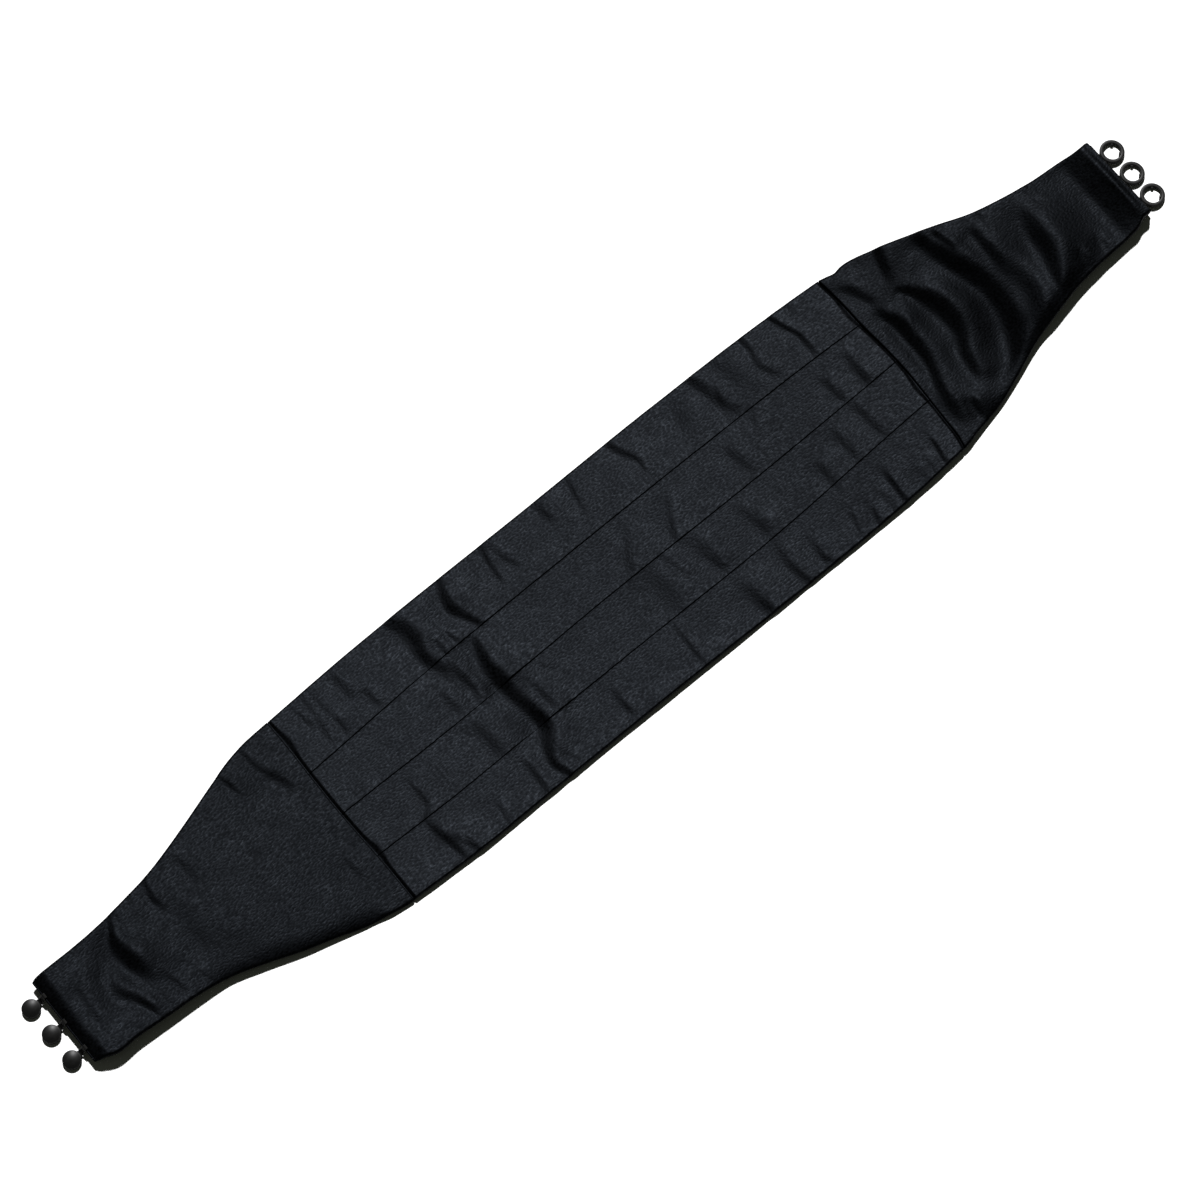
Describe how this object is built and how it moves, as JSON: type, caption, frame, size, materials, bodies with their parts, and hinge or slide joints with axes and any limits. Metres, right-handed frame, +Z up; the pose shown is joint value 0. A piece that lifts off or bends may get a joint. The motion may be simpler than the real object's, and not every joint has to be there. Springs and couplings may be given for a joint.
{
  "type": "cummerbund",
  "caption": "Pleated satin waist sash lying flat, with a stepped pleated front, shaped side tails, and moulded studs and rings that fasten at the back.",
  "frame": {"origin": "middle of the footprint, on the surface that the sash lies on", "axes": "+X along the sash from the stud end to the ring end, +Y up the front as it is worn, +Z up out of the front face"},
  "size_m": [0.823, 0.1422, 0.0085],
  "materials": {
    "satin_front": "silk satin, soft sheen",
    "satin_tails": "silk satin, soft sheen",
    "plastic": "gloss"
  },
  "bodies": {
    "root": {"pleated_front": "satin_front", "stud_tail": "satin_tails", "ring_tail": "satin_tails", "stud_1": "plastic", "stud_2": "plastic", "stud_3": "plastic", "ring_1": "plastic", "ring_2": "plastic", "ring_3": "plastic"}
  },
  "joints": []
}
